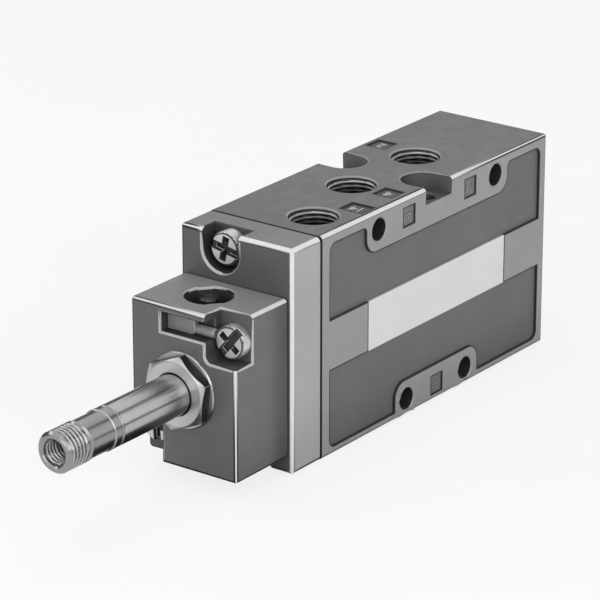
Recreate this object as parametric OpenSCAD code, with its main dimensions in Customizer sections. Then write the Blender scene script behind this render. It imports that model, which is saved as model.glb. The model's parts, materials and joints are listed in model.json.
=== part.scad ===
// Directional control valve, five ports and two positions, air piloted by a small solenoid
// valve and returned by a spring. The coil that slides over the armature tube is not fitted.
// Origin: middle of the housing's underside, below port 1. X runs to the rear, Z is up.

/* [Housing] */
// Distance along the valve from one port to the next
port_pitch = 10.7; // [10.5:0.1:13]
// Width of the housing and the front cover
body_w = 26; // [26:0.5:34]
// Height of the housing and the front cover
body_h = 44.5; // [42:0.5:56]
// Rounding of the outer edges
edge_r = 0.8; // [0.3:0.1:1.5]
// Thickness of the closed rear wall
rear_wall = 3.5; // [2:0.5:6]

/* [Ports] */
// Thread diameter of the ports
port_d = 9.73; // [9:0.01:10]
// Depth of the port threads
port_depth = 8; // [5:0.5:9]
// Width of the chamfer round each port
port_chamfer = 0.3; // [0.1:0.1:0.4]
// Diameter of the passages from the ports to the bore
passage_d = 6; // [3:0.5:7]
// Distance of the pilot port from the front of the housing
pilot_port_x = 8.5; // [7:0.5:10]
// Distance of the pilot port from the middle plane
pilot_port_y = 4.8; // [4.5:0.1:6]
// Diameter of the small pilot air channels
channel_d = 2; // [1:0.2:2.4]

/* [Mounting holes] */
// Width of the two notches beside the ports
notch_w = 8.8; // [8:0.1:9.4]
// Distance of the notches' round ends from the middle plane
notch_reach = 4.8; // [4:0.1:6]
// Depth of the notches below the top
notch_depth = 3.4; // [2:0.1:6]
// Diameter of the upright mounting holes
upright_d = 4.3; // [3:0.1:4.5]
// Width of the chamfer round the upright holes
upright_chamfer = 0.35; // [0.1:0.05:0.5]
// Distance between the upright mounting holes
upright_gap = 18.9; // [17.8:0.1:19]
// Diameter of the cross mounting holes
cross_d = 4.5; // [3:0.1:4.6]
// Width of the chamfer round the cross holes
cross_chamfer = 0.25; // [0.1:0.05:0.4]
// Distance between the upper cross holes
upper_gap = 39.4; // [38:0.1:42]
// Distance of the upper cross holes below the top
upper_drop = 3.8; // [3.6:0.1:5]
// Distance between the lower cross holes
lower_gap = 20; // [19:0.5:22]
// Distance of the lower cross holes above the underside
lower_rise = 3.2; // [3:0.1:4]

/* [Side panels] */
// Depth of the sunk side panels
panel_depth = 0.5; // [0.2:0.1:0.8]
// Width of the frame left at the ends of a panel
panel_end = 2.6; // [1.5:0.1:4]
// Width of the frame left above a panel
panel_top = 2.3; // [1:0.1:3]
// Width of the frame left below a panel
panel_foot = 1.65; // [1:0.05:2.5]
// Corner radius of the panels
panel_r = 1.6; // [0.5:0.1:2.5]
// Width of the frame left beside and below the cross holes
hole_frame = 4.2; // [3.5:0.1:4.5]
// Length of the nameplate
plate_len = 46.2; // [30:0.2:56]
// Height of the nameplate
plate_high = 10.1; // [6:0.1:12]
// Side of the small sunk squares on the top
label_size = 4.2; // [3:0.1:4.8]
// Width of the sunk rectangle beside the pilot port
pilot_label_w = 5; // [4:0.1:5.4]
// Side of the sunk squares on the near side
side_label_size = 3.7; // [3:0.1:4]
// Depth of the sunk squares
label_depth = 0.3; // [0.1:0.05:0.5]

/* [Spool] */
// Diameter of the bore that holds the seals and cages
bore_d = 12; // [11:0.1:12.6]
// Diameter of the spool's lands
spool_d = 8; // [7.4:0.1:8.6]
// Diameter of the spool's necks
neck_d = 5; // [3:0.1:6]
// Travel of the spool and the piston
stroke = 3.4; // [2:0.1:4]
// Thickness of the ring that closes the stack of seals
retainer_t = 1.25; // [0.8:0.05:2]
// Length of the spool behind the last seal
spool_tail = 1.25; // [0.8:0.05:3]
// Diameter of the hole in the spool that holds the return spring
spring_bore_d = 5.8; // [5.2:0.1:6.2]
// Wire thickness of the return spring
return_wire = 0.7; // [0.4:0.05:0.8]
// Thickness of the return spring's seat
spring_seat_t = 0.8; // [0.5:0.1:1.5]
// Diameter of the holes round each cage
cage_hole_d = 2.5; // [1.5:0.1:2.8]

/* [Piston] */
// Diameter of the piston's bore
piston_bore_d = 18; // [15:0.5:20]
// Thickness of the piston
piston_t = 4.9; // [4:0.1:7]
// Width of the piston's seal
piston_seal_w = 1.8; // [1.2:0.1:2.4]

/* [Front cover] */
// Thickness of the front cover
cover_t = 8.7; // [8:0.1:12]
// Thickness of the gasket behind the cover
cover_gasket_t = 0.4; // [0.2:0.1:0.8]
// Rounding of the cover's front edges
cover_r = 1; // [0.4:0.1:1.6]
// Distance of the cover screws from the middle plane
cover_screw_y = 3.6; // [3:0.1:4]
// Distance of the cover screws from the top and the underside
cover_screw_z = 3.65; // [3.3:0.05:4]
// Thread diameter of the cover screws
cover_screw_d = 4; // [3:0.1:4]
// Length of the cover screws below the head
cover_screw_len = 15; // [10:0.5:16]
// Head diameter of the cover screws
cover_head_d = 6.5; // [5:0.1:7]
// Head height of the cover screws
cover_head_t = 2.9; // [2:0.1:3.4]
// Width of the open pockets round the heads
pocket_w = 8.5; // [7.5:0.1:9.5]
// Depth of the pockets
pocket_depth = 4.1; // [3.5:0.1:5]

/* [Pilot block] */
// Length of the pilot block
block_len = 15.6; // [15:0.1:20]
// Width of the pilot block
block_w = 24.2; // [23:0.1:26]
// Height of the pilot block
block_h = 31.5; // [31:0.1:34]
// Height of its underside above the housing's underside
block_z = 3.5; // [2:0.1:5]
// Thickness of the gasket behind the block
block_gasket_t = 0.3; // [0.2:0.1:0.6]
// Depth of the two corner notches for the screws
corner_depth = 5; // [3.5:0.1:5.4]
// Distance of the notches' inner sides from the middle plane
corner_y = 5; // [4.6:0.1:5.6]
// Height of the corner notches
corner_h = 9.2; // [8.5:0.1:9.8]
// Distance of the block screws from the middle plane
block_screw_y = 8.6; // [8.4:0.1:9.2]
// Distance of the block screws above and below the tube's axis
block_screw_z = 10.25; // [10.2:0.05:10.9]
// Thread diameter of the block screws
block_screw_d = 3; // [2.5:0.1:3.4]
// Length of the block screws below the head
block_screw_len = 16.5; // [14:0.5:18]
// Head diameter of the block screws
block_head_d = 6.4; // [5:0.1:6.5]
// Head height of the block screws
block_head_t = 2.4; // [1.8:0.1:3]

/* [Armature tube] */
// Height of the tube's axis above the underside
tube_z = 19.4; // [18.8:0.1:19.6]
// Outer diameter of the tube
tube_d = 8; // [7:0.1:8.4]
// Wall of the tube
tube_wall = 0.4; // [0.2:0.05:0.6]
// Distance from the pilot block to the tube's weld
tube_out = 21.6; // [18:0.1:30]
// Width across the flats of the tube nut
nut_flats = 13; // [12:0.1:13.6]
// Height of the nut's hexagon
nut_hex_t = 2.3; // [1.5:0.1:4]
// Diameter of the nut's collar
nut_collar_d = 15; // [14:0.1:15.6]
// Thickness of the nut's collar
nut_collar_t = 0.7; // [0.4:0.1:1.5]
// Thread diameter of the nut in the block
nut_thread_d = 11.8; // [11:0.1:12]
// Length of the nut's thread
nut_thread_len = 3; // [2.5:0.1:3.2]
// Thickness of the tube's flange
flange_t = 1; // [0.6:0.1:1.1]
// Section of the tube's O-ring
tube_ring_t = 0.8; // [0.6:0.05:0.9]
// Depth of the chamber that holds the pilot seat
chamber_t = 1.2; // [1.1:0.1:1.3]
// Diameter of the pilot seat's hole
nozzle_d = 1; // [0.6:0.1:1.2]

/* [Armature and core] */
// Travel of the armature
armature_stroke = 0.8; // [0.4:0.1:1.2]
// Length of the armature
armature_len = 22; // [18:0.5:23.5]
// Depth of the hole in the armature that holds its spring
armature_hole = 7; // [5:0.5:12]
// Diameter of the armature's spring
armature_spring_d = 3.1; // [2.6:0.1:3.3]
// Wire thickness of the armature's spring
armature_wire = 0.4; // [0.3:0.05:0.5]
// Length of the fixed core outside the tube
core_out = 15; // [12:0.1:20]
// Length of the core's thread, with its end chamfer
core_thread_len = 5.1; // [3:0.1:7]
// Thread diameter of the hole in the core's end
exhaust_d = 5; // [3:0.1:5]
// Depth of the threaded hole in the core's end
exhaust_depth = 8; // [5:0.5:10]

/* [Manual override] */
// Distance of the override behind the front of the block
override_x = 8.7; // [8.2:0.1:9]
// Distance of the override beside the tube's axis
override_y = 0.6; // [-0.3:0.1:1]
// Diameter of the round recess in the block's top
override_well_d = 9; // [8.6:0.1:9.2]
// Depth of the recess
override_well = 3.6; // [3:0.1:3.8]
// Diameter of the plunger
plunger_d = 3.6; // [3:0.1:3.8]
// Travel of the plunger
plunger_stroke = 1.5; // [0.8:0.1:1.8]
// Distance of the plunger's top below the block's top
plunger_sunk = 0.3; // [0:0.1:1]
// Diameter of the bush round the plunger
bush_d = 6.2; // [5.8:0.1:6.6]
// Length of the bush
bush_len = 7.6; // [7:0.1:7.8]
// Height of the retaining slide's slot
slide_h = 3.8; // [3.4:0.1:4]
// Distance of the slot's top below the block's top
slide_drop = 1.6; // [1.4:0.1:1.8]
// Thickness of the retaining slide
slide_t = 1.3; // [1:0.1:1.4]
// Depth of the slide's face behind the front of the block
slide_sunk = 2.1; // [1.8:0.1:2.1]
// Diameter of the slide's rod
slide_rod_d = 1.9; // [1.5:0.1:2]

/* [Hidden] */
$fn = 72;

// Clearances: a fit is on each side of a piece, a gap lies along its axis. cut is spare depth for cuts.
run_fit = 0.05;
seat_fit = 0.05;
stop_gap = 0.1;
end_gap = 0.4;
loose_fit = 0.4;
spring_fit = 0.25;
return_fit = 0.3;
cut = 1;

// Places along the spool's bore
bore_r = bore_d / 2;
spool_r = spool_d / 2;
seal_section = bore_r - seat_fit - spool_r - run_fit;
seal_slot = seal_section + 0.5;
stack_end = 2.5 * port_pitch + seal_slot / 2;
piston_floor = -stack_end - retainer_t;
piston_back = piston_floor - stop_gap - stroke;
piston_front = piston_back - piston_t;
front_x = piston_front - end_gap;
spring_room = 1.1;
spool_back = stack_end + spool_tail;
bore_back = spool_back + stroke + spring_room + spring_seat_t;
rear_x = bore_back + rear_wall;
bore_z = body_h / 2;
tail_r = spool_r + loose_fit;
piston_groove = 1.5;
neck_web = 2.65;
spring_start = 1.5 * port_pitch - stroke / 2 + neck_web;

// Places of the ports
top_ports = [-port_pitch, port_pitch];
foot_ports = [-2 * port_pitch, 0, 2 * port_pitch];
port_r = port_d / 2;
pilot_x = front_x + pilot_port_x;
channel_r = channel_d / 2;
channel_rise = 1.3;
pilot_channel_z = body_h - port_depth + channel_rise;
label_gaps = [1.435, 1.605, 2.405];
label_shifts = [4, 0.1, 1.7];
side_label_shift = 0.7;

// Places of the front cover and the pilot block
cover_back = front_x - cover_gasket_t;
cover_front = cover_back - cover_t;
block_back = cover_front - block_gasket_t;
block_front = block_back - block_len;
block_top = block_z + block_h;
pocket_floor = cover_front + pocket_depth;
corner_floor = block_front + corner_depth;
corner_r = 1.3;
gasket_inset = 0.5;
shank_fit = 0.15;
cover_screw_turn = 11.5;
block_screw_turns = [-51, 85];

// Places along the armature tube
tube_r = tube_d / 2;
tube_bore_r = tube_r - tube_wall;
weld_x = block_front - tube_out;
flange_x = block_front + nut_thread_len;
tube_back = flange_x + flange_t;
nut_floor = tube_back + tube_ring_t;
chamber_x = nut_floor + chamber_t;
seat_tip = nut_floor + 0.2;
flange_r = nut_thread_d / 2 - 0.4;
ring_r = flange_r - 0.5;
armature_r = tube_bore_r - 0.1;
armature_back = nut_floor - 0.3;
armature_front = armature_back - armature_len;
pole_x = armature_front - armature_stroke - stop_gap;
core_end = weld_x - core_out;
core_r = tube_r - 0.2;
coil_thread_r = tube_r - 0.05;
relief_r = tube_r - 0.45;
nut_step_r = tube_r - 0.2;
weld_band = 2.3;
vent_r = 0.8;
exhaust_rim = 0.3;
nut_fit = 0.2;
nut_turn = 8;
seal_disc_r = 1.5;
seal_disc_t = 1;
nut_face = block_front - nut_collar_t - nut_hex_t;

// Places of the manual override
well_floor = block_top - override_well;
bush_foot = well_floor - bush_len;
override_at = block_front + override_x;
plunger_r = plunger_d / 2;
bush_r = bush_d / 2 - seat_fit;
plunger_top = block_top - plunger_sunk;
slot_top = block_top - slide_drop;
slot_foot = slot_top - slide_h;
collar_top = slot_foot - 0.5;
collar_t = 1.8;
collar_foot = collar_top - collar_t;
collar_r = plunger_r + 0.7;
ring_groove = 0.6;
ring_slot = 0.8;
stem_r = 1.2;
stem_fit = 0.3;
stem_foot = bush_foot - 1.2;
groove_deep = 0.8;
override_wire = 0.4;
slide_face = block_front + slide_sunk;
slide_back = slide_face + slide_t;
tongue_h = 1.3;
slide_left = 5.2;
slide_step = -1.15;
slide_corner = 0.7;
rod_end = block_screw_y - block_head_d / 2 - stop_gap;
rod_at = slide_face + 1;
rod_start = slide_step + 0.5;

// A box with the corners of its outline rounded in the plane
module soft_rect(w, h, r) {
    square([w - 2 * r, h], center = true);
    square([w, h - 2 * r], center = true);
    for (x = [-1, 1], y = [-1, 1])
        translate([x * (w / 2 - r), y * (h / 2 - r)]) circle(r);
}

// A flat shape drawn as across and up, extruded along X from x0 to x1
module along_x(x0, x1) {
    translate([x0, 0, 0]) rotate([90, 0, 90]) linear_extrude(x1 - x0) children();
}

// A flat shape drawn as along and up, extruded from y0 to y1
module along_y(y0, y1) {
    translate([0, y1, 0]) rotate([90, 0, 0]) linear_extrude(y1 - y0) children();
}

// A cylinder along X through the point y, z
module rod_x(r, x0, x1, y = 0, z = 0) {
    translate([x0, y, z]) rotate([0, 90, 0]) cylinder(r = r, h = x1 - x0);
}

// A profile of [radius, x] points turned about the X axis
module turned(profile, z = 0) {
    translate([0, 0, z]) rotate([0, 90, 0]) rotate_extrude() polygon(profile);
}

// A ring of round section turned about the X axis
module round_ring(mean_r, section_r, x, z) {
    translate([x, 0, z]) rotate([0, 90, 0]) rotate_extrude() translate([mean_r, 0]) circle(section_r, $fn = 24);
}

// A box whose twelve edges are rounded
module soft_box(x0, x1, w, z0, z1, r) {
    length = x1 - x0;
    high = z1 - z0;
    intersection() {
        along_x(x0, x1) translate([0, (z0 + z1) / 2]) soft_rect(w, high, r);
        along_y(-w / 2, w / 2) translate([(x0 + x1) / 2, (z0 + z1) / 2]) soft_rect(length, high, r);
        translate([(x0 + x1) / 2, 0, z0]) linear_extrude(high) soft_rect(length, w, r);
    }
}

// The part of a soft box on the front side of x1, with square edges there
module soft_front(x0, x1, w, z0, z1, r) {
    intersection() {
        soft_box(x0, x1 + 4 * r, w, z0, z1, r);
        translate([x0 - cut, -w, z0 - cut]) cube([x1 - x0 + cut, 2 * w, z1 - z0 + 2 * cut]);
    }
}

// A threaded port, cut down from the point x, y, z, with its mouth chamfer
module port_cut(depth) {
    translate([0, 0, -depth]) cylinder(r = port_r, h = depth + cut);
    translate([0, 0, -port_chamfer])
        cylinder(r1 = port_r, r2 = port_r + port_chamfer + 0.01, h = port_chamfer + 0.01);
}

// A cheese head screw along X with a slot and a cross recess, its seat at x
module screw(d, len, head_d, head_t, x, y, z, turn) {
    slot_w = head_d * 0.265;
    slot_deep = head_t * 0.35;
    cross_w = head_d * 0.22;
    cross_len = head_d * 0.75;
    cross_deep = head_t * 0.65;
    rim = head_d * 0.06;
    head_r = head_d / 2;
    tip = d * 0.12;
    translate([x, y, z]) rotate([turn, 0, 0]) difference() {
        turned([
            [0, -head_t], [head_r - rim, -head_t], [head_r, rim - head_t], [head_r, 0],
            [d / 2, 0], [d / 2, len - tip], [d / 2 - tip, len], [0, len]
        ]);
        translate([-head_t - cut, -head_d, -slot_w / 2]) cube([slot_deep + cut, 2 * head_d, slot_w]);
        translate([-head_t - cut, -cross_len / 2, -cross_w / 2]) cube([cross_deep + cut, cross_len, cross_w]);
        translate([-head_t - cut, -cross_w / 2, -cross_len / 2]) cube([cross_deep + cut, cross_w, cross_len]);
    }
}

// Points of one ring of a coil spring, and the angle and height along it
function ring_of(mean_r, wire_r, angle, h, sides) = [
    for (i = [0 : sides - 1])
        let (a = 360 * i / sides, r = mean_r + wire_r * cos(a))
        [r * cos(angle), r * sin(angle), h + wire_r * sin(a)]
];

// Height along a spring: one flat turn at each end and an even rise between
function coil_height(turn, turns, len, wire) =
    turn < 1 ? wire / 2 + turn * wire * 0.5 :
    turn > turns - 1 ? len - wire / 2 - (turns - turn) * wire * 0.5 :
    wire + (turn - 1) / (turns - 2) * (len - 2 * wire);

// A coil spring that stands on the XY plane
module coil_spring(mean_r, wire, len, turns, steps = 14, sides = 8) {
    count = turns * steps;
    points = [
        for (k = [0 : count])
            each ring_of(mean_r, wire / 2, 360 * k / steps, coil_height(k / steps, turns, len, wire), sides)
    ];
    walls = [
        for (k = [0 : count - 1], i = [0 : sides - 1])
            let (a = k * sides + i, b = k * sides + (i + 1) % sides)
            [a, a + sides, b + sides, b]
    ];
    first = [for (i = [0 : sides - 1]) i];
    last = [for (i = [sides - 1 : -1 : 0]) count * sides + i];
    polyhedron(points = points, faces = concat(walls, [first, last]), convexity = 10);
}

// One corner, to be cut from a flat panel so that the panel's own corner is round
module corner_round(x, z, r, sx, sz) {
    translate([x, z]) difference() {
        translate([sx < 0 ? -r : 0, sz < 0 ? -r : 0]) square(r);
        translate([sx < 0 ? -r : r, sz < 0 ? -r : r]) circle(r);
    }
}

// Outline of the frame that dips round a pair of cross holes
module hole_band(gap, z_in, z_out) {
    half = gap / 2 + hole_frame;
    r = 3.2;
    side = z_out > z_in ? 1 : -1;
    translate([-half + r, min(z_in, z_out)]) square([2 * half - 2 * r, abs(z_out - z_in)]);
    translate([-half, min(z_in + side * r, z_out)]) square([2 * half, abs(z_out - z_in) - r]);
    for (x = [-half + r, half - r]) translate([x, z_in + side * r]) circle(r);
}

// Outline of the sunk side panel, drawn as along and up
module panel_outline() {
    len = rear_x - front_x - 2 * panel_end;
    mid = (rear_x + front_x) / 2;
    high = body_h - panel_top - panel_foot;
    dip = body_h - upper_drop - hole_frame;
    ear = upper_gap / 2 + hole_frame;
    ear_r = 1;
    difference() {
        translate([mid, panel_foot + high / 2]) soft_rect(len, high, panel_r);
        hole_band(upper_gap, dip, body_h + cut);
        hole_band(lower_gap, lower_rise + hole_frame, -cut);
        corner_round(ear, body_h - panel_top, ear_r, 1, -1);
        corner_round(-ear, body_h - panel_top, ear_r, -1, -1);
        for (side = [-1, 1])
            translate([side > 0 ? plate_len / 2 : -plate_len / 2 - len, bore_z - plate_high / 2])
                square([len, plate_high]);
    }
}

// Upright mounting hole and its notch on one side
module notch_cut(side) {
    r = notch_w / 2;
    centre = notch_reach + r;
    translate([0, side * centre, body_h - notch_depth]) cylinder(r = r, h = notch_depth + cut);
    translate([-r, side > 0 ? centre : -body_w, body_h - notch_depth])
        cube([notch_w, body_w - centre, notch_depth + cut]);
    translate([0, side * upright_gap / 2, 0]) {
        translate([0, 0, -cut]) cylinder(d = upright_d, h = body_h + cut);
        translate([0, 0, body_h - notch_depth - upright_chamfer])
            cylinder(d1 = upright_d, d2 = upright_d + 2 * upright_chamfer, h = upright_chamfer);
    }
}

// A cross hole with a chamfer at each side of the housing
module cross_cut(x, z) {
    half = body_w / 2;
    depth = body_w + 2 * cut;
    translate([x, half + cut, z]) rotate([90, 0, 0]) cylinder(d = cross_d, h = depth);
    for (side = [-1, 1])
        translate([x, side * half, z]) rotate([side * 90, 0, 0])
            cylinder(d1 = cross_d + 2 * cross_chamfer, d2 = cross_d, h = cross_chamfer);
}

// Middle and width of each sunk label on the top: beside ports 14, 4 and 2
function top_labels() = [
    [pilot_x + port_r + label_gaps[0] + label_size / 2, -pilot_port_y - label_shifts[0], pilot_label_w],
    [-port_pitch + label_shifts[1], -port_r - label_gaps[1] - label_size / 2, label_size],
    [port_pitch + label_shifts[2], port_r + label_gaps[2] + label_size / 2, label_size]
];

// Middle of each sunk square on the side, as along and up: below ports 4 and 2 and above port 1
function side_labels() = [
    [-port_pitch + side_label_shift, body_h - upper_drop],
    [port_pitch, body_h - upper_drop],
    [0, lower_rise]
];

module label_cuts() {
    s = label_size;
    t = side_label_size;
    for (p = top_labels())
        translate([p[0] - s / 2, p[1] - p[2] / 2, body_h - label_depth]) cube([s, p[2], cut]);
    for (p = side_labels())
        translate([p[0] - t / 2, -body_w / 2 - cut + label_depth, p[1] - t / 2]) cube([t, cut, t]);
}

// Hole for the screws that hold the cover, the upper one and the lower one
module cover_screw_places() {
    for (s = [-1, 1])
        translate([0, s * cover_screw_y, s > 0 ? body_h - cover_screw_z : cover_screw_z]) children();
}

// Places of the screws that hold the pilot block, the upper one on the near side
module block_screw_places() {
    for (s = [-1, 1]) translate([0, -s * block_screw_y, tube_z + s * block_screw_z]) children();
}

// Housing: a block with the spool's bore, the ports and the mounting holes
module housing() color("#8b8d8e") difference() {
    intersection() {
        soft_box(front_x - 4 * edge_r, rear_x, body_w, 0, body_h, edge_r);
        translate([front_x, -body_w, -cut]) cube([rear_x - front_x + cut, 2 * body_w, body_h + 2 * cut]);
    }
    rod_x(bore_r, front_x - cut, stack_end, 0, bore_z);
    rod_x(piston_bore_d / 2, front_x - cut, piston_floor, 0, bore_z);
    rod_x(tail_r, stack_end - cut, bore_back, 0, bore_z);
    for (x = top_ports) {
        translate([x, 0, body_h]) port_cut(port_depth);
        translate([x, 0, bore_z]) cylinder(d = passage_d, h = body_h - bore_z);
    }
    for (x = foot_ports) {
        translate([x, 0, 0]) mirror([0, 0, 1]) port_cut(port_depth);
        translate([x, 0, 0]) cylinder(d = passage_d, h = bore_z);
    }
    translate([pilot_x, -pilot_port_y, body_h]) port_cut(port_depth);
    rod_x(channel_r, front_x - cut, pilot_x, -pilot_port_y, pilot_channel_z);
    for (side = [-1, 1]) notch_cut(side);
    for (x = [-upper_gap / 2, upper_gap / 2]) cross_cut(x, body_h - upper_drop);
    for (x = [-lower_gap / 2, lower_gap / 2]) cross_cut(x, lower_rise);
    along_y(-body_w / 2 - cut, -body_w / 2 + panel_depth) panel_outline();
    along_y(body_w / 2 - panel_depth, body_w / 2 + cut) panel_outline();
    label_cuts();
    cover_screw_places()
        rod_x(cover_screw_d / 2 + seat_fit, front_x - cut, pocket_floor + cover_screw_len + end_gap);
}

// Bare nameplate between the two raised tabs of the near side
module nameplate() color("#d3d4d4") {
    half = plate_len / 2 - seat_fit;
    high = plate_high - 2 * seat_fit;
    along_y(-body_w / 2, -body_w / 2 + panel_depth)
        translate([-half, bore_z - high / 2]) square([2 * half, high]);
}

// Front cover: closes the piston's bore and carries the pilot block
module front_cover() color("#7f8182") difference() {
    soft_front(cover_front, cover_back, body_w, 0, body_h, cover_r);
    for (s = [-1, 1]) pocket_cut(s);
    cover_screw_places() rod_x(cover_screw_d / 2 + shank_fit, pocket_floor - cut, cover_back + cut);
    block_screw_places()
        rod_x(block_screw_d / 2 + seat_fit, cover_front - cut, corner_floor + block_screw_len + end_gap);
    rod_x(channel_r, cover_front - cut, cover_back + cut, 0, tube_z);
    rod_x(channel_r, cover_back - cover_t / 3, cover_back + cut, -pilot_port_y, pilot_channel_z);
}

// Pocket of one cover screw, open to the top or to the underside
module pocket_cut(s) {
    r = pocket_w / 2;
    z = s > 0 ? body_h - cover_screw_z : cover_screw_z;
    rod_x(r, cover_front - cut, pocket_floor, s * cover_screw_y, z);
    translate([cover_front - cut, s * cover_screw_y - r, s > 0 ? z : -cut])
        cube([pocket_depth + cut, pocket_w, cover_screw_z + cut]);
}

// Flat gasket between housing and cover
module cover_gasket() color("#26282a") difference() {
    along_x(cover_back, front_x) translate([0, body_h / 2])
        soft_rect(body_w - 2 * gasket_inset, body_h - 2 * gasket_inset, cover_r);
    rod_x(piston_bore_d / 2 + loose_fit, cover_back - cut, front_x + cut, 0, bore_z);
    cover_screw_places() rod_x(cover_screw_d / 2 + shank_fit, cover_back - cut, front_x + cut);
    rod_x(channel_r, cover_back - cut, front_x + cut, -pilot_port_y, pilot_channel_z);
}

// Two cheese head screws of the cover
module cover_screws() color("#c4c6c8") {
    cover_screw_places()
        screw(cover_screw_d, cover_screw_len, cover_head_d, cover_head_t, pocket_floor, 0, 0, cover_screw_turn);
}

// Flat shape of the two corner notches, drawn as across and up
module corner_notch() {
    side = block_w / 2 - corner_y;
    translate([-block_w / 2 - cut, block_top - corner_h]) {
        square([side + cut - corner_r, corner_h + cut]);
        translate([0, corner_r]) square([side + cut, corner_h + cut - corner_r]);
        translate([side + cut - corner_r, corner_r]) circle(corner_r);
    }
}

// Pilot block with its screw corners, tube seat, override well and slot
module pilot_block() color("#77797b") difference() {
    soft_front(block_front, block_back, block_w, block_z, block_top, edge_r);
    along_x(block_front - cut, corner_floor) {
        corner_notch();
        translate([0, 2 * block_z + block_h]) rotate(180) corner_notch();
    }
    block_screw_places() rod_x(block_screw_d / 2 + shank_fit, corner_floor - cut, block_back + cut);
    rod_x(nut_thread_d / 2 + seat_fit, block_front - cut, nut_floor, 0, tube_z);
    rod_x(tube_r, nut_floor - cut, chamber_x, 0, tube_z);
    rod_x(channel_r, chamber_x - cut, block_back + cut, 0, tube_z);
    override_well_cut();
    slide_cut();
}

// Well, bush bore and stem hole of the override
module override_well_cut() {
    lug_out = override_well_d / 2 + cut;
    lug_in = override_well_d / 2 - 0.45;
    lug_w = 3.4;
    lug_turn = 49;
    translate([override_at, override_y, 0]) {
        difference() {
            translate([0, 0, well_floor]) cylinder(d = override_well_d, h = override_well + cut);
            rotate(lug_turn) for (side = [0, 180]) rotate(side)
                translate([lug_in, -lug_w / 2, well_floor - cut])
                    cube([lug_out - lug_in, lug_w, override_well + 3 * cut]);
        }
        translate([0, 0, bush_foot]) cylinder(d = bush_d, h = bush_len + cut);
        translate([0, 0, tube_z]) cylinder(r = stem_r + stem_fit, h = bush_foot - tube_z + cut);
    }
}

// Slot of the retaining slide, open to the front and to the upper corner notch
module slide_cut() {
    width = slide_left + corner_y + cut;
    tongue_end = override_at - bush_r + groove_deep;
    translate([block_front - cut, -corner_y - cut, slot_foot])
        cube([slide_back - block_front + cut, width, slide_h]);
    translate([block_front - cut, slide_step, slot_foot])
        cube([tongue_end - block_front + cut, slide_left - slide_step, tongue_h + seat_fit]);
    translate([rod_at, rod_start + seat_fit, slot_foot + slide_rod_d / 2 + seat_fit]) rotate([90, 0, 0])
        cylinder(d = slide_rod_d + 2 * seat_fit, h = corner_y + rod_start + cut);
}

// Flat gasket between pilot block and cover
module block_gasket() color("#26282a") difference() {
    along_x(block_back, cover_front) translate([0, block_z + block_h / 2])
        soft_rect(block_w - 2 * gasket_inset, block_h - 2 * gasket_inset, edge_r);
    block_screw_places() rod_x(block_screw_d / 2 + shank_fit, block_back - cut, cover_front + cut);
    rod_x(channel_r, block_back - cut, cover_front + cut, 0, tube_z);
}

// Two screws of the pilot block, one in each corner notch
module block_screws() color("#c4c6c8") {
    for (k = [0, 1]) {
        s = 1 - 2 * k;
        screw(block_screw_d, block_screw_len, block_head_d, block_head_t,
              corner_floor, -s * block_screw_y, tube_z + s * block_screw_z, block_screw_turns[k]);
    }
}

// Nut that clamps the armature tube: hexagon, collar and thread
module tube_nut() color("#b9bbbd") difference() {
    collar_front = block_front - nut_collar_t;
    collar_r = nut_collar_d / 2;
    collar_rim = 0.2;
    thread_r = nut_thread_d / 2;
    thread_rim = 0.3;
    union() {
        intersection() {
            translate([nut_face, 0, tube_z]) rotate([nut_turn, 0, 0]) rotate([0, 90, 0])
                cylinder(d = nut_flats / cos(30), h = nut_hex_t, $fn = 6);
            nut_crown();
        }
        turned([
            [0, collar_front], [collar_r - collar_rim, collar_front], [collar_r, collar_front + collar_rim],
            [collar_r, block_front], [thread_r, block_front], [thread_r, flange_x - thread_rim],
            [thread_r - thread_rim, flange_x], [0, flange_x]
        ], tube_z);
    }
    rod_x(tube_r + nut_fit, nut_face - cut, flange_x + cut, 0, tube_z);
}

// Turned chamfer on the front of the nut's hexagon
module nut_crown() {
    crown = 0.55;
    slope = 1.75;
    flat_r = nut_flats / 2 - 0.25;
    wide = nut_flats;
    turned([
        [0, nut_face], [flat_r, nut_face], [flat_r + slope * crown, nut_face + crown],
        [wide, nut_face + crown], [wide, block_front], [0, block_front]
    ], tube_z);
}

// Thin tube that guides the armature, flanged at the block
module armature_tube() color("#b4b6b8") turned([
    [tube_bore_r, weld_x], [tube_r, weld_x], [tube_r, nut_face], [nut_step_r, nut_face],
    [nut_step_r, flange_x], [flange_r, flange_x],
    [flange_r, tube_back], [tube_bore_r, tube_back]
], tube_z);

// O-ring behind the tube's flange
module tube_oring() color("#1d1e20") round_ring(ring_r, tube_ring_t / 2, tube_back + tube_ring_t / 2, tube_z);

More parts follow.
